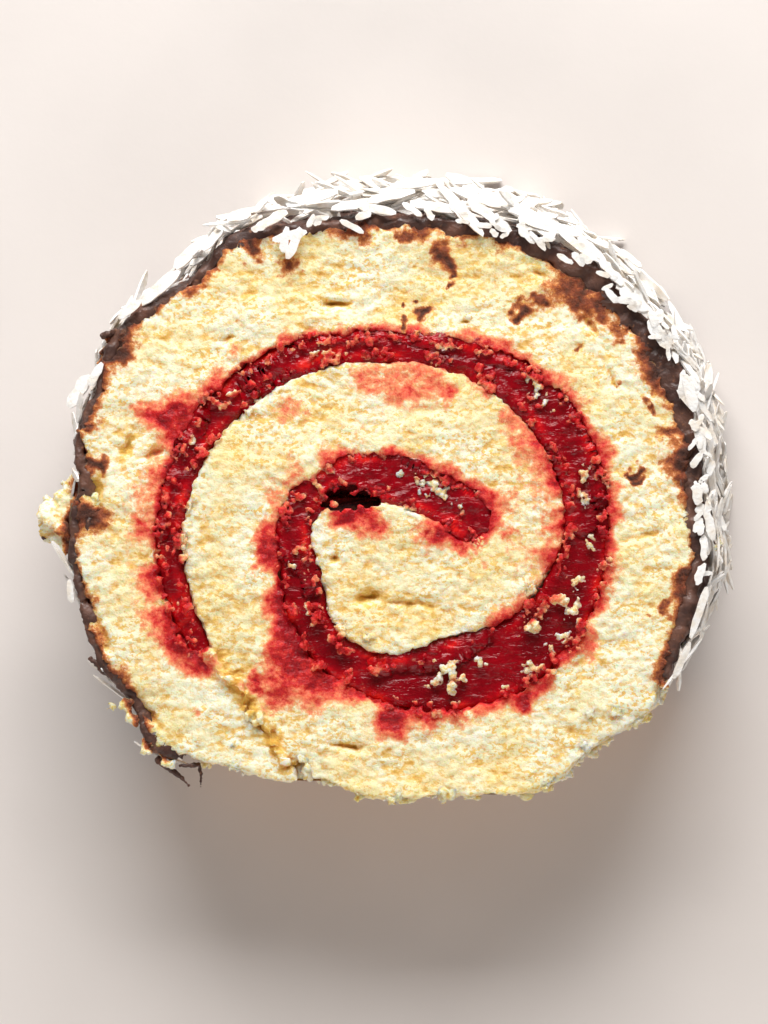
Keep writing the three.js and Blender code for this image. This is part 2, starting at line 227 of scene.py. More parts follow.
# Coconut shreds that lie over the rim: place, turn, length and width
RIM_SHREDS = (
    (9.8, 38.9, -54, 9.4, 1.3), (-9.5, 40.4, 14, 7.0, 1.6), (-19.0, 38.0, 4, 3.2, 1.5),
    (-25.2, 33.3, 44, 6.0, 1.7), (-29.2, 28.7, 40, 6.5, 1.5), (-39.8, 15.2, 52, 5.0, 1.9),
    (0.8, 40.6, 18, 6.4, 1.4), (4.0, 42.2, 12, 5.4, 1.2), (15.8, 39.6, -26, 8.0, 1.4),
    (22.0, 36.4, -8, 7.6, 1.4), (13.6, 38.0, -36, 7.0, 1.3), (18.8, 37.4, -42, 7.2, 1.3),
    (27.0, 33.4, -48, 5.2, 1.4), (31.6, 28.2, -52, 4.0, 1.8), (35.6, 22.6, -56, 4.6, 1.6),
    (39.6, 15.0, -76, 5.0, 1.4), (41.0, 9.0, -80, 3.4, 1.4), (40.6, 1.8, -86, 2.8, 1.4),
    (42.2, -2.2, -78, 4.2, 1.2), (40.8, -13.6, -108, 7.0, 1.0), (38.6, -19.8, -114, 5.2, 0.9),
    (-11.8, 34.4, 66, 4.4, 1.2), (-13.0, 34.9, 80, 3.4, 1.1), (-12.4, 35.4, 12, 4.6, 1.2),
    (-4.0, 39.4, 8, 6.0, 1.3), (-14.8, 37.4, 30, 4.8, 1.3), (6.2, 39.2, -10, 6.0, 1.3),
    (24.8, 34.4, -38, 6.0, 1.2), (-1.0, 38.8, -12, 5.0, 1.2), (11.8, 40.4, -22, 7.0, 1.3),
    (29.4, 30.6, -46, 4.4, 1.2), (-22.4, 35.0, 50, 4.0, 1.2), (-33.2, 25.8, 38, 3.6, 1.1),
    (-40.9, -10.8, 96, 3.0, 0.9), (-37.6, 17.4, 60, 3.4, 1.1), (33.6, 26.0, -50, 3.6, 1.3),
)

# How likely a shred sticks and how thick the layer is, by the angle round the roll
COCONUT_COVER = (
    (-32, 0.5, 0.7), (-16, 0.9, 0.9), (12, 1.0, 1.1), (35, 1.0, 1.6), (60, 1.0, 2.6), (80, 1.0, 3.6),
    (104, 1.0, 3.6), (118, 0.7, 2.2), (150, 0.42, 1.0), (190, 0.16, 0.6), (229, 0.12, 0.6),
)
SHREDS_TRIED = 1250
SHRED_MODELS = 7
SHRED_STEPS = 6
SHRED_THICKNESS = 0.32 * MM
LOWEST_SHRED = 0.5 * MM
HIGHEST_SHRED = 26.5 * MM
RIM_CHIPS = 80

# Height in millimetres at which shreds lie on the rim
RIM_SHRED_HEIGHT = 25.7

# Height at which the coat's outline is measured, and a distance well outside it, for measuring
RIM_LEVEL = 24 * MM
FAR_OUTSIDE = 75 * MM


# ---------------------------------------------------------------- hand tools


def on_face(x, y):
    """A place on the spiral face, from millimetres to the frame's metres."""
    return Vector((x * MM + ROLL_MIDDLE.x, y * MM + ROLL_MIDDLE.y))


def on_table(point):
    """The place on the table right below a point."""
    return Vector((point.x, point.y, 0))


def uneven(point, lumps):
    """Noise from -1 to 1, the same in every run, with so many lumps to a unit of length."""
    return noise.noise(point * lumps)


def drift(point, lumps):
    """An uneven push along X, Y and Z, from -1 to 1 each, with so many lumps to a metre."""
    return Vector([noise.noise(point * lumps + apart) for apart in DRIFT_APART])


def deselect_all():
    for thing in bpy.context.view_layer.objects:
        thing.select_set(False)


def take(piece):
    """Make a piece the only selected and active one."""
    deselect_all()
    piece.select_set(True)
    bpy.context.view_layer.objects.active = piece
    return piece


def finish_modifier(piece, kind, **settings):
    """Put one modifier on a piece and apply it."""
    take(piece)
    modifier = piece.modifiers.new(kind.lower(), kind)
    for key, value in settings.items():
        setattr(modifier, key, value)
    bpy.ops.object.modifier_apply(modifier=modifier.name)


def copy_of_node(node, name):
    """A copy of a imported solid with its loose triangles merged."""
    piece = frame["nodes"][node].copy()
    piece.data = piece.data.copy()
    piece.name = name
    piece.data.name = name
    piece.data.materials.clear()
    bpy.context.scene.collection.objects.link(piece)
    piece.parent = None
    take(piece)
    bpy.ops.object.mode_set(mode="EDIT")
    bpy.ops.mesh.select_all(action="SELECT")
    bpy.ops.mesh.remove_doubles(threshold=SAME_PLACE)
    bpy.ops.object.mode_set(mode="OBJECT")
    return piece


def slice_off(piece, height, keep_above):
    """Cut a piece level at a height, close the cut and keep one side."""
    take(piece)
    bpy.ops.object.mode_set(mode="EDIT")
    bpy.ops.mesh.select_all(action="SELECT")
    bpy.ops.mesh.bisect(
        plane_co=(0, 0, height),
        plane_no=(0, 0, 1),
        use_fill=True,
        clear_inner=keep_above,
        clear_outer=not keep_above,
    )
    bpy.ops.object.mode_set(mode="OBJECT")


def stand_on_table(piece):
    """Level off what has swollen down through the table."""
    for vertex in piece.data.vertices:
        vertex.co.z = max(vertex.co.z, LIFT_OFF_TABLE)


def shade_soft(piece):
    take(piece)
    bpy.ops.object.shade_smooth()


def relief(name, kind, scale, **settings):
    """A texture to press relief into a piece with; its scale is in millimetres."""
    texture = bpy.data.textures.new(name, kind)
    texture.noise_scale = scale * MM
    for key, value in settings.items():
        setattr(texture, key, value)
    return texture


def press(piece, texture, height, level=0.5, guide=None):
    """Raise and sink a piece's surface by a texture; the height is in millimetres."""
    finish_modifier(
        piece,
        "DISPLACE",
        texture=texture,
        texture_coords="OBJECT" if guide else "LOCAL",
        texture_coords_object=guide,
        strength=height * MM,
        mid_level=level,
    )


def stretch_guide(name, *stretch):
    """An empty that draws a relief out along X, Y and Z while it is pressed in."""
    guide = bpy.data.objects.new(name, None)
    guide.scale = stretch
    bpy.context.scene.collection.objects.link(guide)
    bpy.context.view_layer.update()
    return guide


def spread_sideways(piece, out, inward, raggedness):
    """Push a piece's walls level outwards, by one distance facing out and another facing in."""
    facings = [vertex.normal.xy for vertex in piece.data.vertices]
    for vertex, facing in zip(piece.data.vertices, facings):
        reach = out if facing.dot(vertex.co.xy - JAM_POLE) > 0 else inward
        share = 1 + raggedness * uneven(on_table(vertex.co), 620)
        vertex.co.xy += facing * reach * share * MM


def paint(piece, name, values):
    """Store one number for each vertex under a name that the material reads."""
    layer = piece.data.attributes.new(name, "FLOAT", "POINT")
    layer.data.foreach_set("value", values)


def clear_hollow(piece):
    """Sink what has closed over the hollow down to its floor, and paint how far in a point is: the
    materials darken it to near black as painted shade.
    """
    x, y, half_length, half_width, turn = HOLLOW
    middle = on_face(x, y)
    along = Vector((math.cos(math.radians(turn)), math.sin(math.radians(turn))))
    across = Vector((-along.y, along.x))
    shade_in_hollow = []
    for vertex in piece.data.vertices:
        away = (vertex.co.xy - middle) / MM
        bow = 0.5 * (away.dot(along) / half_length) ** 2
        place = Vector((away.dot(along) / half_length, away.dot(across) / half_width + bow))
        edge = 1 + 0.5 * uneven(on_table(away), 0.9)
        if place.length < edge:
            vertex.co.z = min(vertex.co.z, HOLLOW_FLOOR)
        # How far in and down a point lies in the hollow, which the materials paint as shade
        below = blend(SLICE_TOP - 0.5 * MM, SLICE_TOP - 1.6 * MM, vertex.co.z)
        shade_in_hollow.append(below * blend(edge + 0.9, edge + 0.2, place.length))
    paint(piece, "hollow", shade_in_hollow)


def upper_edges(node):
    """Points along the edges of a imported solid's top face, close enough to measure from."""
    piece = copy_of_node(node, "measuring_copy")
    mesh = bmesh.new()
    mesh.from_mesh(piece.data)
    points = []
    for edge in mesh.edges:
        if len(edge.link_faces) != 2:
            continue
        flat = [face.normal.z > 0.9 for face in edge.link_faces]
        if flat[0] == flat[1]:
            continue
        start, end = (vertex.co.xy for vertex in edge.verts)
        steps = max(1, round((end - start).length / EDGE_POINTS_APART))
        points += [start.lerp(end, i / steps) for i in range(steps)]
    mesh.free()
    bpy.data.objects.remove(piece)
    tree = KDTree(len(points))
    for i, point in enumerate(points):
        tree.insert((point.x, point.y, 0), i)
    tree.balance()
    return tree


def hump(distance, spread):
    return math.exp(-((distance / spread) ** 2))


def blend(low, high, value):
    share = min(max((value - low) / (high - low), 0.0), 1.0)
    return share * share * (3 - 2 * share)


JAM_EDGES = upper_edges("jam")
COAT_EDGES = upper_edges("chocolate")


def from_jam(point):
    """Distance in millimetres to the jam's edge, and whether the point is on its outward side."""
    nearest, _, distance = JAM_EDGES.find(on_table(point))
    outward = (Vector((point.x, point.y)) - nearest.xy).dot(nearest.xy - JAM_POLE) > 0
    return distance / MM, outward


def from_coat(point):
    return COAT_EDGES.find(on_table(point))[2] / MM


def spot_sum(spots, point):
    """How strongly a list of soaked or stained spots colours a point; their outlines are ragged."""
    point = point + drift(point, 380) * 1.6 * MM + drift(point, 1100) * 0.8 * MM
    clear = 1.0
    for x, y, spread, strength in spots:
        away = (point.xy - on_face(x, y)).length / MM
        if away < 3 * spread:
            clear *= 1 - min(strength * SPOT_STRENGTH, STRONGEST_SPOT) * hump(away, spread)
    return 1 - clear


# ---------------------------------------------------------------- finishes


def colour(red, green, blue):
    """A screen colour from 0 to 255 as the light that it stands for."""
    def light(value):
        value /= 255
        return value / 12.92 if value <= 0.04045 else ((value + 0.055) / 1.055) ** 2.4
    return (light(red), light(green), light(blue), 1)


class Finish:
    """A material and the short words that its node tree is put together with."""

    def __init__(self, name):
        self.material = bpy.data.materials.new(name)
        self.material.use_nodes = True
        self.tree = self.material.node_tree
        self.shader = self.tree.nodes["Principled BSDF"]
        self.place = self.node("TexCoord").outputs["Object"]

    def node(self, kind, **settings):
        made = self.tree.nodes.new("ShaderNode" + kind)
        for key, value in settings.items():
            setattr(made, key, value)
        return made

    def link(self, value, socket):
        if isinstance(value, bpy.types.NodeSocket):
            self.tree.links.new(value, socket)
        else:
            socket.default_value = value

    def grain(self, size, detail=2.0, roughness=0.55, stretch=None, warp=0.0):
        """Noise whose lumps are about a size in millimetres; stretch draws it out along X, Y, Z."""
        texture = self.node("TexNoise")
        place = self.place
        if stretch:
            mapping = self.node("Mapping")
            mapping.inputs["Scale"].default_value = stretch
            self.link(place, mapping.inputs["Vector"])
            place = mapping.outputs["Vector"]
        self.link(place, texture.inputs["Vector"])
        texture.inputs["Scale"].default_value = 1 / (size * MM)
        texture.inputs["Detail"].default_value = detail
        texture.inputs["Roughness"].default_value = roughness
        texture.inputs["Distortion"].default_value = warp
        return texture.outputs["Fac"]

    def read(self, name):
        return self.node("Attribute", attribute_name=name).outputs["Fac"]

    def combine(self, operation, first, second, third=0.0, clamp=False):
        made = self.node("Math", operation=operation, use_clamp=clamp)
        for value, socket in zip((first, second, third), made.inputs):
            self.link(value, socket)
        return made.outputs[0]

    def ramp(self, value, low, high, to_low=0.0, to_high=1.0):
        made = self.node("MapRange", interpolation_type="SMOOTHSTEP")
        for amount, socket in zip((value, low, high, to_low, to_high), made.inputs):
            self.link(amount, socket)
        return made.outputs[0]

    def mix(self, share, under, over):
        made = self.node("Mix", data_type="RGBA")
        self.link(share, made.inputs["Factor"])
        self.link(under, made.inputs[6])
        self.link(over, made.inputs[7])
        return made.outputs[2]

    def steps(self, value, *stops):
        """A colour that runs through stops, each a place from 0 to 1 and its colour."""
        made = self.node("ValToRGB")
        band = made.color_ramp
        while len(band.elements) < len(stops):
            band.elements.new(0.5)
        for element, (place, shade) in zip(band.elements, stops):
            element.position = place
            element.color = shade
        self.link(value, made.inputs["Fac"])
        return made.outputs["Color"]

    def raise_by(self, height, depth):
        """Fine relief from a height; the depth is in millimetres."""
        bump = self.node("Bump")
        bump.inputs["Strength"].default_value = 1.0
        bump.inputs["Distance"].default_value = depth * MM
        self.link(height, bump.inputs["Height"])
        return bump.outputs["Normal"]

    def finish(self, shade, roughness, normal, **constants):
        self.link(shade, self.shader.inputs["Base Color"])
        self.link(roughness, self.shader.inputs["Roughness"])
        self.link(normal, self.shader.inputs["Normal"])
        for name, value in constants.items():
            self.shader.inputs[name.replace("_", " ")].default_value = value
        return self.material


CREAM = colour(254, 231, 180)
PALE_CREAM = colour(255, 245, 220)
# Golden tones of the crumb: random tone, and also painted shade where the crumb is sunk
GOLDEN_TONE_AND_PORE_SHADE = colour(239, 200, 118)
DEEP_TONE_AND_PORE_SHADE = colour(214, 164, 76)
BAKED_SKIN = colour(226, 172, 96)
BROWNED_SKIN = colour(204, 136, 66)
# Near black painted into the hollow at the middle: painted shade
PAINTED_HOLLOW_SHADE = colour(30, 2, 6)


def soaked(finish, crumb, amount):
    """Colour of crumb under a growing amount of jam."""
    wet = finish.steps(
        amount,
        (0.0, colour(252, 212, 156)),
        (0.25, colour(249, 182, 130)),
        (0.48, colour(240, 122, 92)),
        (0.68, colour(212, 42, 42)),
        (0.92, colour(156, 10, 24)),
    )
    return finish.mix(finish.ramp(amount, 0.08, 0.34), crumb, wet)


def stained(finish, crumb, amount):
    """Colour of crumb under a growing amount of chocolate."""
    brown = finish.steps(
        amount,
        (0.0, colour(240, 190, 112)),
        (0.3, colour(208, 132, 76)),
        (0.5, colour(148, 80, 54)),
        (0.75, colour(98, 60, 46)),
        (1.0, colour(74, 50, 44)),
    )
    return finish.mix(finish.ramp(amount, 0.05, 0.35), crumb, brown)


def sponge_finish():
    """Open vanilla crumb: pale tops, golden pores, soaked by jam and stained by chocolate; the golden of
    the pores is partly random tone and partly painted shade where the crumb is sunk.
    """
    finish = Finish("vanilla_crumb")
    broad = finish.grain(9, 2)
    middle = finish.grain(1.1, 3, 0.65, stretch=(0.6, 1.0, 1.0))
    speckle = finish.grain(0.5, 2, 0.6, stretch=(0.75, 1.0, 1.0))
    fine = finish.grain(0.3, 2, 0.6)
    # Golden where the crumb is sunk: painted shade in the pores, over random tone from the noise
    pore_shade = finish.read("pore_shade")
    deep = finish.combine("MULTIPLY_ADD", finish.combine("SUBTRACT", middle, 0.5), 2.2, pore_shade)
    tops = finish.mix(finish.ramp(broad, 0.3, 0.6), CREAM, PALE_CREAM)
    patches = finish.ramp(finish.grain(2.6, 3, 0.6, stretch=(0.6, 1.0, 1.0)), 0.36, 0.64, 0.35, 1.0)
    # Golden speckles where the fine bump below is sunk: painted shade in small pores, patchy by random
    # tone
    speckled = finish.combine("MULTIPLY", finish.ramp(speckle, 0.5, 0.58), patches)
    crumb = finish.mix(speckled, tops, GOLDEN_TONE_AND_PORE_SHADE)
    crumb = finish.mix(finish.ramp(deep, 0.36, 0.8), crumb, GOLDEN_TONE_AND_PORE_SHADE)
    crumb = finish.mix(finish.ramp(deep, 0.66, 1.1), crumb, DEEP_TONE_AND_PORE_SHADE)
    browning = finish.mix(finish.ramp(finish.grain(6, 3), 0.35, 0.7), BAKED_SKIN, BROWNED_SKIN)
    bare = finish.ramp(finish.grain(2.4, 4, 0.65), 0.3, 0.55, 0.25, 1.0)
    crumb = finish.mix(finish.combine("MULTIPLY", finish.read("skin"), bare), crumb, browning)
    ragged = finish.combine("SUBTRACT", finish.grain(1.1, 4, 0.72), 0.5)
    jam = finish.combine("MULTIPLY_ADD", ragged, 1.1, finish.read("jam_soak"))
    chocolate = finish.combine("MULTIPLY_ADD", ragged, 1.1, finish.read("chocolate_stain"))
    reached = finish.ramp(finish.read("jam_soak"), 0.01, 0.1)
    shade = soaked(finish, crumb, finish.combine("MULTIPLY", jam, reached))
    reached = finish.ramp(finish.read("chocolate_stain"), 0.02, 0.15)
    shade = stained(finish, shade, finish.combine("MULTIPLY", chocolate, reached))
    # Painted shade: the hollow at the middle darkened to near black
    shade = finish.mix(finish.read("hollow"), shade, PAINTED_HOLLOW_SHADE)
    height = finish.combine("MULTIPLY_ADD", fine, 0.9, finish.combine("MULTIPLY", speckle, -1.6))
    normal = finish.raise_by(height, 0.16)
    roughness = finish.ramp(jam, 0.35, 0.9, 0.95, 0.35)
    return finish.finish(
        shade, roughness, normal,
        Subsurface_Weight=0.9,
        Subsurface_Radius=(1.0, 0.75, 0.45),
        Subsurface_Scale=1.9 * MM,
        Specular_IOR_Level=0.25,
    )


def jam_finish():
    """Wet jam: dark where it is deep, scarlet where it is thin, with streaks from the knife."""
    finish = Finish("red_berry_jam")
    broad = finish.grain(3.2, 3, 0.6)
    streak = finish.grain(1.1, 3, 0.6, stretch=(0.35, 1.0, 1.0), warp=0.6)
    thin = finish.combine("MULTIPLY_ADD", finish.combine("SUBTRACT", broad, 0.5), 0.9, finish.read("thin"))
    shade = finish.steps(
        thin,
        (0.0, colour(126, 0, 14)),
        (0.35, colour(154, 2, 18)),
        (0.6, colour(188, 10, 22)),
        (0.9, colour(228, 36, 30)),
    )
    fleck = finish.ramp(finish.grain(0.7, 3, 0.7), 0.6, 0.72)
    fleck = finish.combine("MULTIPLY", fleck, finish.ramp(finish.read("thin"), 0.1, 0.5, 0.1, 0.8))
    shade = finish.mix(fleck, shade, colour(224, 130, 110))
    # Painted shade: the hollow at the middle darkened to near black
    shade = finish.mix(finish.read("hollow"), shade, PAINTED_HOLLOW_SHADE)
    height = finish.combine("MULTIPLY_ADD", finish.grain(0.6, 2), 0.25, streak)
    normal = finish.raise_by(height, 0.35)
    roughness = finish.ramp(finish.grain(1.3, 2), 0.35, 0.65, 0.1, 0.3)
    return finish.finish(
        shade, roughness, normal,
        Subsurface_Weight=0.25,
        Subsurface_Radius=(1.0, 0.12, 0.1),
        Subsurface_Scale=1.5 * MM,
        Specular_IOR_Level=0.3,
    )


def chocolate_finish():
    """Set dark chocolate: satin, with a paler bloom and lighter rubbed patches."""
    finish = Finish("dark_chocolate")
    bloom = finish.ramp(finish.grain(4, 3, 0.6), 0.35, 0.7)
    shade = finish.mix(bloom, colour(66, 42, 36), colour(112, 76, 62))
    rub = finish.ramp(finish.grain(1.1, 3, 0.7), 0.58, 0.72)
    shade = finish.mix(finish.combine("MULTIPLY", rub, 0.6), shade, colour(150, 98, 66))
    height = finish.combine("MULTIPLY_ADD", finish.grain(0.5, 2), 0.3, finish.grain(1.8, 3))
    normal = finish.raise_by(height, 0.3)
    roughness = finish.ramp(finish.grain(2.2, 2), 0.3, 0.7, 0.34, 0.6)
    return finish.finish(
        shade, roughness, normal,
        Subsurface_Weight=0.05,
        Subsurface_Radius=(1.0, 0.5, 0.3),
        Subsurface_Scale=0.5 * MM,
        Specular_IOR_Level=0.5,
    )


def coconut_finish():
    """Dried coconut: white, a little see-through, with fibres."""
    finish = Finish("dried_coconut")
    tone = finish.ramp(finish.grain(2.4, 2), 0.4, 0.7)
    shade = finish.mix(tone, colour(250, 247, 243), colour(233, 222, 208))
    normal = finish.raise_by(finish.grain(0.4, 2), 0.12)
    roughness = finish.ramp(finish.grain(1.2, 2), 0.3, 0.7, 0.42, 0.65)
    return finish.finish(
        shade, roughness, normal,
        Subsurface_Weight=0.3,
        Subsurface_Radius=(1.0, 0.9, 0.8),
        Subsurface_Scale=0.6 * MM,
    )


def plate_finish():
    finish = Finish("pale_table")
    tone = finish.ramp(finish.grain(30, 2), 0.3, 0.7)
    shade = finish.mix(tone, colour(224, 217, 213), colour(229, 222, 218))
    normal = finish.raise_by(finish.grain(1.5, 2), 0.02)
    return finish.finish(shade, 0.6, normal)


# ---------------------------------------------------------------- sponge


CRUMB_SWELL = relief("crumb_swell", "CLOUDS", 7.0, noise_depth=1)
CRUMB_TUFTS = relief("crumb_tufts", "CLOUDS", 3.0, noise_depth=1)
CRUMB_LUMPS = relief("crumb_lumps", "CLOUDS", 0.9, noise_depth=1, noise_basis="VORONOI_F1")
CRUMB_GRAIN = relief("crumb_grain", "CLOUDS", 0.5, noise_depth=1, noise_basis="IMPROVED_PERLIN")
CRUMB_PORES = relief("crumb_pores", "CLOUDS", 1.0, noise_depth=2, contrast=3.2, intensity=1.4)
PORE_GUIDE = stretch_guide("pore_guide", 1.5, 1.0, 1.0)


def tear_pits(piece):
    """Sink the named pits into the cut face."""
    for vertex in piece.data.vertices:
        if vertex.co.z < SLICE_TOP - FACE_DEPTH:
            continue
        for x, y, half_length, half_width, turn, depth in TORN_PITS:
            away = (vertex.co.xy - on_face(x, y)) / MM
            if away.length > 3 * max(half_length, half_width):
                continue
            wobble = uneven(vertex.co, 900) * 0.5
            angle = math.radians(turn)
            along = away.x * math.cos(angle) + away.y * math.sin(angle)
            across = away.y * math.cos(angle) - away.x * math.sin(angle) + wobble * half_width
            vertex.co.z -= depth * MM * hump(along, half_length) * hump(across, half_width)


def colour_crumb(piece, before, wetness=1.0, least_wet=0.0):
    """Paint the painted shade of sunk pores and of the seam's groove, the soaked jam, chocolate stain and
    baked skin of a sponge piece.
    """
    pore_shade, soak, stain, skin = [], [], [], []
    for vertex, start in zip(piece.data.vertices, before):
        point = vertex.co
        sunk = (start - point).dot(vertex.normal) / MM
        jam, outward = from_jam(point)
        coat = from_coat(point)
        reach = max(0.7, 1.8 + 2.4 * uneven(point, 330))
        edge = hump(jam, reach) * 0.82 if outward else hump(jam, 0.55) * 0.8
        top = blend(-FACE_DEPTH, -1.5 * MM, point.z - SLICE_TOP)
        wet = 1 - (1 - edge) * (1 - spot_sum(JAM_SOAKS, point) * top)
        soak.append(max(wet * wetness, least_wet * (1 + uneven(point, 500))))
        reach = 0.7 + 1.6 * max(0.0, uneven(point, 260))
        stain.append(1 - (1 - hump(coat, reach) * 0.7) * (1 - spot_sum(CHOCOLATE_STAINS, point) * top))
        # How far a point has sunk, and the seam's groove, are painted as shade in the pores
        groove = hump(from_seam(point), 1.0) * blend(SLICE_TOP - 0.3 * MM, SLICE_TOP - 0.9 * MM, point.z)
        pore_shade.append(0.3 + sunk * 0.9 + groove * 0.7)
        skin.append(blend(0.6, -0.2, vertex.normal.z) * blend(2.0, 4.0, jam))
    for name, values in (("pore_shade", pore_shade), ("jam_soak", soak), ("chocolate_stain", stain), ("skin", skin)):
        paint(piece, name, values)


def roughen_crumb(piece, share=1.0):
    """Press the crumb's swells, lumps, holes and grain into a sponge piece."""
    press(piece, CRUMB_SWELL, 0.8 * share)
    press(piece, CRUMB_TUFTS, 0.3 * share)
    press(piece, CRUMB_PORES, 0.26 * share, level=0.9, guide=PORE_GUIDE)
    press(piece, CRUMB_LUMPS, -0.16 * share)
    press(piece, CRUMB_GRAIN, 0.26 * share)


def from_seam(point):
    """Distance in millimetres to the line of the seam."""
    nearest = math.inf
    for (*start, _), (*end, _) in zip(SEAM_LINE, SEAM_LINE[1:]):
        start, end = on_face(*start), on_face(*end)
        share = (point.xy - start).dot(end - start) / (end - start).length_squared
        nearest = min(nearest, (point.xy - start.lerp(end, min(max(share, 0), 1))).length / MM)
    return nearest


def fill_seam(piece):
    """Let the two sides of the seam stick together, up to a shallow, uneven groove."""
    fills = []
    for (*start, groove), (*end, next_groove) in zip(SEAM_LINE, SEAM_LINE[1:]):
        start, end = on_face(*start), on_face(*end)
        steps = round((end - start).length / SEAM_STEP)
        for i in range(steps):
            x, y = start.lerp(end, i / steps)
            push = drift(Vector((x, y, 0)), 1500)
            place = (x + push.x * MM, y + push.y * MM, SLICE_TOP - SEAM_FILL_DEPTH * MM)
            height = SEAM_FILL_DEPTH + 0.1 + 0.4 * push.z - groove - (next_groove - groove) * i / steps
            fills.append(lay_blob(place, MM, (SEAM_FILL, SEAM_FILL * (1 + 0.5 * push.x), height)))
    return join_all([piece, *fills], piece.name)


def tear_edges(piece):
    """Drag the crumb unevenly across the jam and the coat where the knife passed."""
    for vertex in piece.data.vertices:
        level = on_table(vertex.co)
        jam, outward = from_jam(vertex.co)
        pull = max(
            hump(jam, 1.3) * (1.0 if outward else 0.45),
            hump(from_coat(vertex.co), 1.2) * 0.9,
            hump(from_seam(vertex.co), 1.6) * 0.9,
        )
        drag = drift(level, 520) * 0.9 + drift(level, 1300) * 0.6
        over_coat = vertex.co.xy.normalized() * hump(from_coat(vertex.co), 1.4) * RIM_OVER_COAT
        vertex.co.xy += (drag.xy * pull + over_coat * (1 + 1.6 * uneven(level, 330))) * MM


def cut_face():
    """The spiral face of the sponge with its rim, torn by the knife."""
    piece = copy_of_node("sponge", "sponge_cut_face")
    slice_off(piece, SLICE_TOP - FACE_DEPTH - FACE_SPARE, keep_above=True)
    fill_seam(piece)
    finish_modifier(piece, "REMESH", mode="VOXEL", voxel_size=FACE_GRAIN)
    before = [vertex.co.copy() for vertex in piece.data.vertices]
    roughen_crumb(piece)
    tear_pits(piece)
    colour_crumb(piece, before)
    tear_edges(piece)
    clear_hollow(piece)
    slice_off(piece, SLICE_TOP - FACE_DEPTH, keep_above=True)
    finish_modifier(piece, "TRIANGULATE")
    shade_soft(piece)
    return piece


def sponge_body():
    """All of the sponge below the cut face."""
    piece = copy_of_node("sponge", "sponge_body")
    slice_off(piece, SLICE_TOP - FACE_DEPTH + BODY_LAP, keep_above=False)
    finish_modifier(piece, "REMESH", mode="VOXEL", voxel_size=BODY_GRAIN)
    before = [vertex.co.copy() for vertex in piece.data.vertices]
    roughen_crumb(piece, 0.8)
    colour_crumb(piece, before)
    slice_off(piece, SLICE_TOP - FACE_DEPTH + BODY_LAP / 2, keep_above=False)
    clear_hollow(piece)
    stand_on_table(piece)
    finish_modifier(piece, "TRIANGULATE")
    shade_soft(piece)
    return piece


# ---------------------------------------------------------------- jam


JAM_LUMPS = relief("jam_lumps", "CLOUDS", 2.6, noise_depth=2)
JAM_PIPS = relief("jam_pips", "CLOUDS", 1.0, noise_depth=1)
STREAK_GUIDE = stretch_guide("streak_guide", 2.0, 1.0, 1.0)


def colour_jam(piece):
    """Paint where the jam is thin: along its inward side, and unevenly along the other."""
    thin = []
    for vertex in piece.data.vertices:
        nearest, _, distance = JAM_EDGES.find(on_table(vertex.co))
        inner = (vertex.co.xy - nearest.xy).dot(nearest.xy - JAM_POLE) > 0
        patch = 0.5 + uneven(vertex.co, 300)
        thin.append(0.1 + (0.95 if inner else 0.5) * patch * hump(distance / MM, 1.1 if inner else 0.8))
    paint(piece, "thin", thin)


def jam_face():
    """The cut face of the jam: wet, lumpy and spread over the crumb's edges."""
    piece = copy_of_node("jam", "jam_face")
    slice_off(piece, SLICE_TOP - JAM_FACE_DEPTH, keep_above=True)
    finish_modifier(piece, "REMESH", mode="VOXEL", voxel_size=JAM_FACE_GRAIN)
    spread_sideways(piece, 1.4, 0.8, 0.7)
    press(piece, JAM_LUMPS, 1.1, level=0.2, guide=STREAK_GUIDE)
    press(piece, JAM_PIPS, 0.4)
    colour_jam(piece)
    clear_hollow(piece)
    shade_soft(piece)
    return piece


def jam_band():
    """The spiral of jam below its cut face, spread a little into the crumb."""
    piece = copy_of_node("jam", "jam_band")
    slice_off(piece, SLICE_TOP - JAM_FACE_DEPTH + BODY_LAP, keep_above=False)
    finish_modifier(piece, "REMESH", mode="VOXEL", voxel_size=JAM_GRAIN)
    spread_sideways(piece, 0.7, 0.5, 0.8)
    press(piece, JAM_LUMPS, 0.8)
    clear_hollow(piece)
    stand_on_table(piece)
    colour_jam(piece)
    shade_soft(piece)
    return piece


# ---------------------------------------------------------------- chocolate


COAT_FOLDS = relief("coat_folds", "CLOUDS", 5.0, noise_depth=2)
COAT_LUMPS = relief("coat_lumps", "CLOUDS", 1.6, noise_depth=2)
COAT_GRIT = relief("coat_grit", "CLOUDS", 0.8, noise_depth=1)


def chocolate_coat():
    """The chocolate shell, thick and thin as it was poured."""
    piece = copy_of_node("chocolate", "chocolate_coat")
    finish_modifier(piece, "REMESH", mode="VOXEL", voxel_size=COAT_GRAIN)
    spread_sideways(piece, 0.0, 0.9, 1.2)
    press(piece, COAT_FOLDS, 1.2)
    press(piece, COAT_LUMPS, 0.9)
    press(piece, COAT_GRIT, 0.4)
    stand_on_table(piece)
    shade_soft(piece)
    return piece


# ---------------------------------------------------------------- crumbs and drips


def model_blob():
    """The round start that every crumb and drip is copied from."""
    bpy.ops.mesh.primitive_ico_sphere_add(subdivisions=2, radius=1)
    blob = bpy.context.active_object
    blob.name = "blob_to_copy"
    return blob


def lay_copy(model, matrix):
    """A copy of a modelled shape with a mesh of its own, placed in its mesh."""
    copied = model.copy()
    copied.data = model.data.copy()
    copied.data.transform(matrix)
    bpy.context.scene.collection.objects.link(copied)
    return copied


def lay_blob(place, radius, squash=(1, 1, 1), turn=None):
    return lay_copy(BLOB, Matrix.LocRotScale(place, turn, Vector(squash) * radius))


def skin_of(piece):
    """A piece's surface in a form that can be asked where a line meets it."""
    mesh = piece.data
    return BVHTree.FromPolygons([v.co for v in mesh.vertices], [tuple(f.vertices) for f in mesh.polygons])


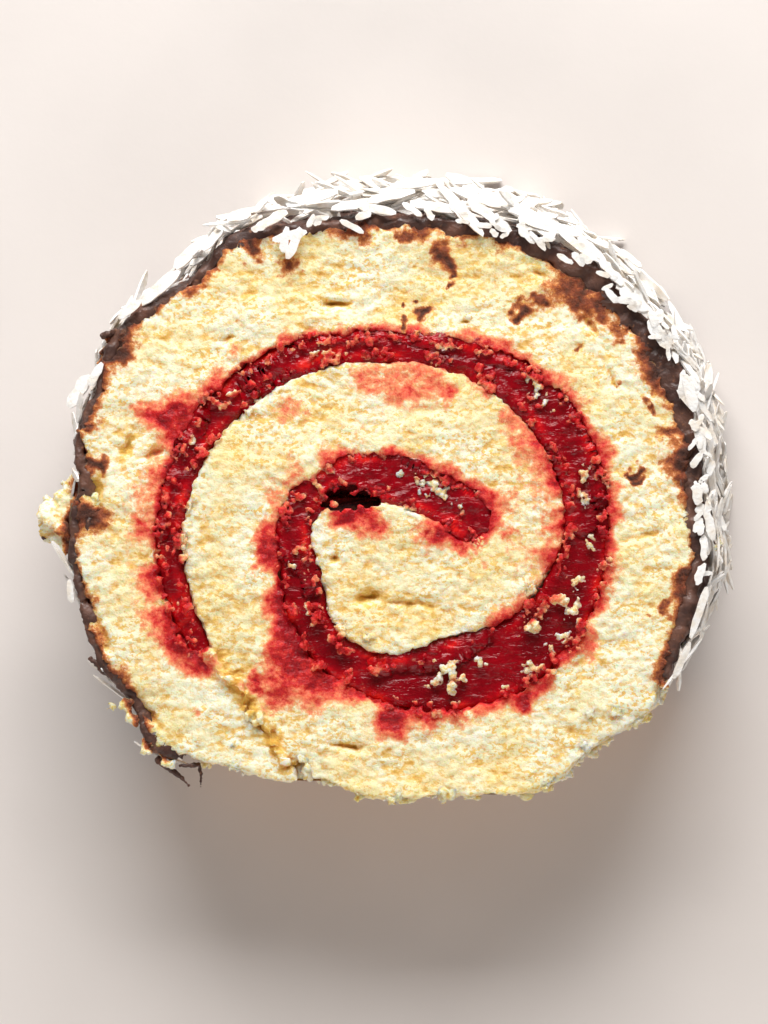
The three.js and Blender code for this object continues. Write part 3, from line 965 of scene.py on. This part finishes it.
def outer_wall(skin, angle, level):
    """Where a piece's outer wall is at an angle round the roll and a height, and which way it faces."""
    away = Vector((math.cos(angle), math.sin(angle), 0))
    place, facing, _, _ = skin.ray_cast(away * FAR_OUTSIDE + Vector((0, 0, level)), -away)
    return place, facing


def join_all(parts, name):
    """Join parts into one piece."""
    deselect_all()
    for part in parts:
        part.select_set(True)
    bpy.context.view_layer.objects.active = parts[0]
    bpy.ops.object.join()
    piece = bpy.context.active_object
    piece.name = name
    piece.data.name = name
    return piece


def crumb_blobs(x, y, height, size, count, chance):
    """One crumb as a few blobs that grow into each other."""
    middle = on_face(x, y)
    blobs = []
    for _ in range(count):
        push = Vector([chance.uniform(*room) for room in ((-0.55, 0.55), (-0.55, 0.55), (-0.25, 0.3))])
        squash = [chance.uniform(0.45, 1.5), chance.uniform(0.45, 1.3), chance.uniform(0.45, 0.85)]
        turn = Euler([chance.uniform(-0.8, 0.8), chance.uniform(-0.8, 0.8), chance.uniform(0, math.pi)])
        place = Vector((middle.x, middle.y, height * MM)) + push * size * MM
        blobs.append(lay_blob(place, size * MM * chance.uniform(0.26, 0.5), squash, turn))
    return blobs


def crumbs(name, rows, grain, seed, blobs_each=5, wetness=1.0, least_wet=0.0):
    """Torn sponge crumbs: blobs run together and roughened like the cut face."""
    chance = random.Random(seed)
    blobs = []
    for x, y, height, size in rows:
        blobs += crumb_blobs(x, y, height, size, blobs_each, chance)
    piece = join_all(blobs, name)
    finish_modifier(piece, "REMESH", mode="VOXEL", voxel_size=grain * MM)
    before = [vertex.co.copy() for vertex in piece.data.vertices]
    press(piece, CRUMB_LUMPS, -0.5)
    press(piece, CRUMB_GRAIN, 0.7)
    colour_crumb(piece, before, wetness, least_wet)
    # No painted hollow shade on the crumbs
    paint(piece, "hollow", [0.0] * len(piece.data.vertices))
    shade_soft(piece)
    return piece


def crumbs_on_jam():
    """Crumbs that the knife dragged onto the jam."""
    top = SLICE_TOP / MM
    chance = random.Random(17)
    rows = []
    for x, y, size in CRUMBS_ON_JAM:
        rows.append((x, y, top - JAM_CRUMB_SUNK, size * 0.9))
        for _ in range(3):
            apart = size * 1.1
            rows.append((
                x + chance.uniform(-apart, apart), y + chance.uniform(-apart, apart),
                top - FLUFF_SUNK, chance.uniform(0.25, 0.6),
            ))
    return crumbs("crumbs_on_jam", rows, 0.17, 5, blobs_each=5, least_wet=0.2)


def jam_edge_fluff():
    """Small torn bits of sponge caught along the edges of the jam."""
    chance = random.Random(23)
    rows = []
    while len(rows) < FLUFF_BITS:
        x, y = chance.uniform(-34, 30), chance.uniform(-30, 24)
        edge, outward = from_jam(on_face(x, y))
        if edge < (1.1 if outward else 0.5):
            rows.append((x, y, SLICE_TOP / MM - FLUFF_SUNK, chance.triangular(0.35, 1.3, 0.55)))
    return crumbs("jam_edge_fluff", rows, 0.17, 29, blobs_each=4, wetness=0.8, least_wet=0.6)


def clinging_crumbs(face, body):
    """Crumbs stuck outside the coat, and a ragged fringe along the bare underside."""
    chance = random.Random(11)
    rows = [(x, y, height, size * 1.25) for x, y, height, size in CLINGING_CRUMBS]
    face_skin, body_skin = skin_of(face), skin_of(body)
    for _ in range(EDGE_CRUMBS):
        angle = math.radians(chance.uniform(*BARE_EDGE))
        level = chance.triangular(1.5, 25.0, 24.8)
        hit, _ = outer_wall(face_skin if level > 23 else body_skin, angle, level * MM)
        if hit:
            spot = (hit.xy - ROLL_MIDDLE) / MM
            rows.append((spot.x, spot.y, level, chance.uniform(0.4, 1.4)))
    return crumbs("clinging_crumbs", rows, 0.24, 7, blobs_each=7)


def chocolate_drips():
    """Drips, flakes and smears of chocolate, each a row of shrinking blobs."""
    blobs = []
    for row in CHOCOLATE_DRIPS:
        for (x0, y0, z0, r0), (x1, y1, z1, r1) in zip(row, row[1:]):
            for i in range(DRIP_STEPS + 1):
                share = i / DRIP_STEPS
                place = on_face(x0 + (x1 - x0) * share, y0 + (y1 - y0) * share)
                height = (z0 + (z1 - z0) * share) * MM
                radius = (r0 + (r1 - r0) * share) * DRIP_THICKNESS * MM
                blobs.append(lay_blob((place.x, place.y, height), radius))
    piece = join_all(blobs, "chocolate_drips")
    finish_modifier(piece, "REMESH", mode="VOXEL", voxel_size=DRIP_GRAIN)
    press(piece, COAT_LUMPS, 0.6)
    press(piece, CRUMB_GRAIN, 0.5)
    shade_soft(piece)
    return piece


# ---------------------------------------------------------------- coconut


def model_shred(number):
    """Model one flat shred, 1 long and 1 wide: a bar cut across, tapered and bent two ways."""
    bpy.ops.mesh.primitive_cube_add(size=1)
    shred = bpy.context.active_object
    shred.name = f"shred_to_copy_{number}"
    bpy.ops.object.mode_set(mode="EDIT")
    bpy.ops.mesh.select_mode(type="EDGE")
    bpy.ops.mesh.select_all(action="DESELECT")
    bpy.ops.object.mode_set(mode="OBJECT")
    corners = shred.data.vertices
    for edge in shred.data.edges:
        start, end = (corners[i].co for i in edge.vertices)
        edge.select = abs(start.x - end.x) > 0.5
    bpy.ops.object.mode_set(mode="EDIT")
    bpy.ops.mesh.subdivide(number_cuts=SHRED_STEPS - 1)
    bpy.ops.mesh.select_mode(type="VERT")
    chance = random.Random(number)
    for step in range(SHRED_STEPS + 1):
        along = step / SHRED_STEPS - 0.5
        bpy.ops.mesh.select_all(action="DESELECT")
        bpy.ops.object.mode_set(mode="OBJECT")
        for vertex in shred.data.vertices:
            vertex.select = abs(vertex.co.x - along) < 0.02
        bpy.ops.object.mode_set(mode="EDIT")
        full = 1 - 0.62 * abs(2 * along) ** chance.uniform(5, 9)
        bpy.ops.transform.resize(
            value=(1, full * chance.uniform(0.85, 1.1), max(full, 0.5)),
            center_override=(along, 0, 0),
        )
        bpy.ops.transform.translate(value=(0, chance.uniform(-0.08, 0.08), chance.uniform(-0.1, 0.1)))
    bpy.ops.object.mode_set(mode="OBJECT")
    bend = math.radians(chance.uniform(-50, 50))
    finish_modifier(shred, "SIMPLE_DEFORM", deform_method="BEND", deform_axis="Z", angle=bend * 0.25)
    finish_modifier(shred, "SIMPLE_DEFORM", deform_method="BEND", deform_axis="Y", angle=bend * 0.15)
    return shred


def layer_at(degrees):
    """How likely coconut is at an angle round the roll, and how thick its layer is."""
    for (a, *low), (b, *high) in zip(COCONUT_COVER, COCONUT_COVER[1:]):
        if a <= degrees <= b:
            return Vector(low).lerp(Vector(high), (degrees - a) / (b - a))
    return Vector((0, 0))


def lay_shred(shred, place, along, outward, length, width):
    """Lay a copy of a shred at a place, its length one way and its flat side facing another."""
    along = along.normalized()
    side = outward.cross(along).normalized()
    turned = Matrix((along, side, along.cross(side))).transposed().to_4x4()
    size = Matrix.Diagonal((length, width, SHRED_THICKNESS, 1))
    return lay_copy(shred, Matrix.Translation(place) @ turned @ size)


def coconut_shreds(coat):
    """Shreds thrown at the coat's wall, several layers deep on top, and a few over the rim."""
    chance = random.Random(3)
    models = [model_shred(number) for number in range(SHRED_MODELS)]
    coat_skin = skin_of(coat)
    shreds = []
    for _ in range(SHREDS_TRIED):
        degrees = chance.uniform(COCONUT_COVER[0][0], COCONUT_COVER[-1][0])
        cover, layer = layer_at(degrees)
        if chance.random() > cover:
            continue
        hit, facing = outer_wall(coat_skin, math.radians(degrees), chance.uniform(0.8, 24.8) * MM)
        if not hit or facing.xy.dot(hit.xy.normalized()) < 0.8:
            continue
        outward = Vector((facing.x, facing.y, 0)).normalized()
        round_the_roll = Vector((-outward.y, outward.x, 0))
        length = chance.triangular(2.6, 9.4, 5.4) * MM
        turn = chance.triangular(-1.5, 1.5, 0)
        lift = chance.uniform(-0.14, 0.14) * layer
        along = round_the_roll * math.cos(turn) + Vector((0, 0, 1)) * math.sin(turn) + outward * lift
        flat = outward + Vector((0, 0, 1)) * chance.uniform(-0.6, 1.1) * min(layer, 2)
        off = 0.2 + chance.random() * layer
        place = hit + outward * off * MM
        upright = abs(math.sin(turn)) * length
        place.z = min(max(place.z, LOWEST_SHRED + upright / 2), HIGHEST_SHRED - upright / 3)
        model, width = chance.choice(models), chance.uniform(0.7, 1.5) * MM
        shreds.append(lay_shred(model, place, along, flat, length, width))
    loose = list(RIM_SHREDS)
    for _ in range(RIM_CHIPS):
        angle = math.radians(chance.triangular(-34, 132, 40))
        rim, _ = outer_wall(coat_skin, angle, RIM_LEVEL)
        spot = rim.xy * (1 + chance.triangular(-1.7, 1.3, 0.5) * MM / rim.xy.length) - ROLL_MIDDLE
        turn = math.degrees(angle) + 90 + chance.triangular(-80, 80, 0)
        length, width = chance.triangular(0.8, 4.0, 1.4), chance.uniform(0.5, 1.1)
        loose.append((spot.x / MM, spot.y / MM, turn, length, width))
    for x, y, turn, length, width in loose:
        spot = on_face(x, y)
        angle = math.atan2(spot.y, spot.x)
        rim, _ = outer_wall(coat_skin, angle, RIM_LEVEL)
        past = max(0.0, (spot.length - rim.xy.length) / MM)
        place = Vector((spot.x, spot.y, (RIM_SHRED_HEIGHT - 0.6 * past + chance.uniform(-0.3, 0.2)) * MM))
        away = Vector((math.cos(angle), math.sin(angle), 0))
        flat = Vector((0, 0, 1)) + away * min(past, 2.0) * 0.3
        along = Vector((math.cos(math.radians(turn)), math.sin(math.radians(turn)), 0))
        along -= flat * flat.dot(along) / flat.length_squared
        shreds.append(lay_shred(chance.choice(models), place, along, flat, length * MM, width * MM))
    for model in models:
        bpy.data.objects.remove(model)
    piece = join_all(shreds, "coconut_shreds")
    take(piece)
    bpy.ops.object.shade_smooth_by_angle(angle=math.radians(50))
    return piece


# ---------------------------------------------------------------- setting


def build_stage():
    bpy.ops.mesh.primitive_plane_add(size=1.6, location=(0, 0, 0))
    floor = bpy.context.active_object
    floor.name = "pale_table"
    floor.data.materials.append(plate_finish())


def soft_window(name, place, size, power, tint=(1, 1, 1)):
    """A large soft light that faces the slice."""
    light = bpy.data.lights.new(name, "AREA")
    light.shape = "RECTANGLE"
    light.size, light.size_y = size
    light.energy = power
    light.color = tint
    lamp = bpy.data.objects.new(name, light)
    lamp.location = place
    lamp.rotation_euler = (Vector((0, 0, 0.02)) - lamp.location).to_track_quat("-Z", "Y").to_euler()
    bpy.context.scene.collection.objects.link(lamp)


def build_light():
    soft_window("window_behind", (-0.02, 0.60, 0.42), (0.6, 0.4), 8.9, (1.0, 0.985, 0.965))
    soft_window("reflector_front", (0.0, -0.62, 0.36), (0.9, 0.5), 2.6, (1.0, 0.95, 0.9))
    world = bpy.data.worlds.new("studio_air")
    world.use_nodes = True
    world.node_tree.nodes["Background"].inputs["Color"].default_value = (1.0, 0.97, 0.94, 1)
    world.node_tree.nodes["Background"].inputs["Strength"].default_value = 0.14
    bpy.context.scene.world = world
    bpy.context.scene.view_settings.view_transform = "Standard"


def build_camera():
    """Straight above the slice, looking down."""
    height = 0.85
    field = 133.1 * MM
    sensor = 36.0
    eye = bpy.data.cameras.new("above")
    eye.sensor_width = sensor
    eye.lens = sensor * height / field
    camera = bpy.data.objects.new("above", eye)
    middle = on_face(-0.13, -0.52)
    camera.location = (middle.x, middle.y, SLICE_TOP + height)
    bpy.context.scene.collection.objects.link(camera)
    bpy.context.scene.camera = camera


# ---------------------------------------------------------------- assembly


def hand_in(piece, finish, slot, *nodes):
    """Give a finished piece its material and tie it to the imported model."""
    piece.data.materials.clear()
    piece.data.materials.append(finish)
    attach(piece, "root")
    if nodes:
        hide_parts(*nodes)


BLOB = model_blob()
face, body = cut_face(), sponge_body()
wet_jam, jam, coat = jam_face(), jam_band(), chocolate_coat()
crumb, chocolate, red_jam = sponge_finish(), chocolate_finish(), jam_finish()
shreds = coconut_shreds(coat)
clinging, stuck, fluff = clinging_crumbs(face, body), crumbs_on_jam(), jam_edge_fluff()
drips = chocolate_drips()
for helper in (BLOB, PORE_GUIDE, STREAK_GUIDE):
    bpy.data.objects.remove(helper)
hand_in(face, crumb, "sponge", "sponge")
hand_in(body, crumb, "sponge", "sponge")
hand_in(wet_jam, red_jam, "jam", "jam")
hand_in(jam, red_jam, "jam", "jam")
hand_in(coat, chocolate, "chocolate", "chocolate")
hand_in(shreds, coconut_finish(), "chocolate")
hand_in(clinging, crumb, "sponge")
hand_in(stuck, crumb, "sponge")
hand_in(fluff, crumb, "sponge")
hand_in(drips, chocolate, "chocolate")

build_stage()
build_light()
build_camera()
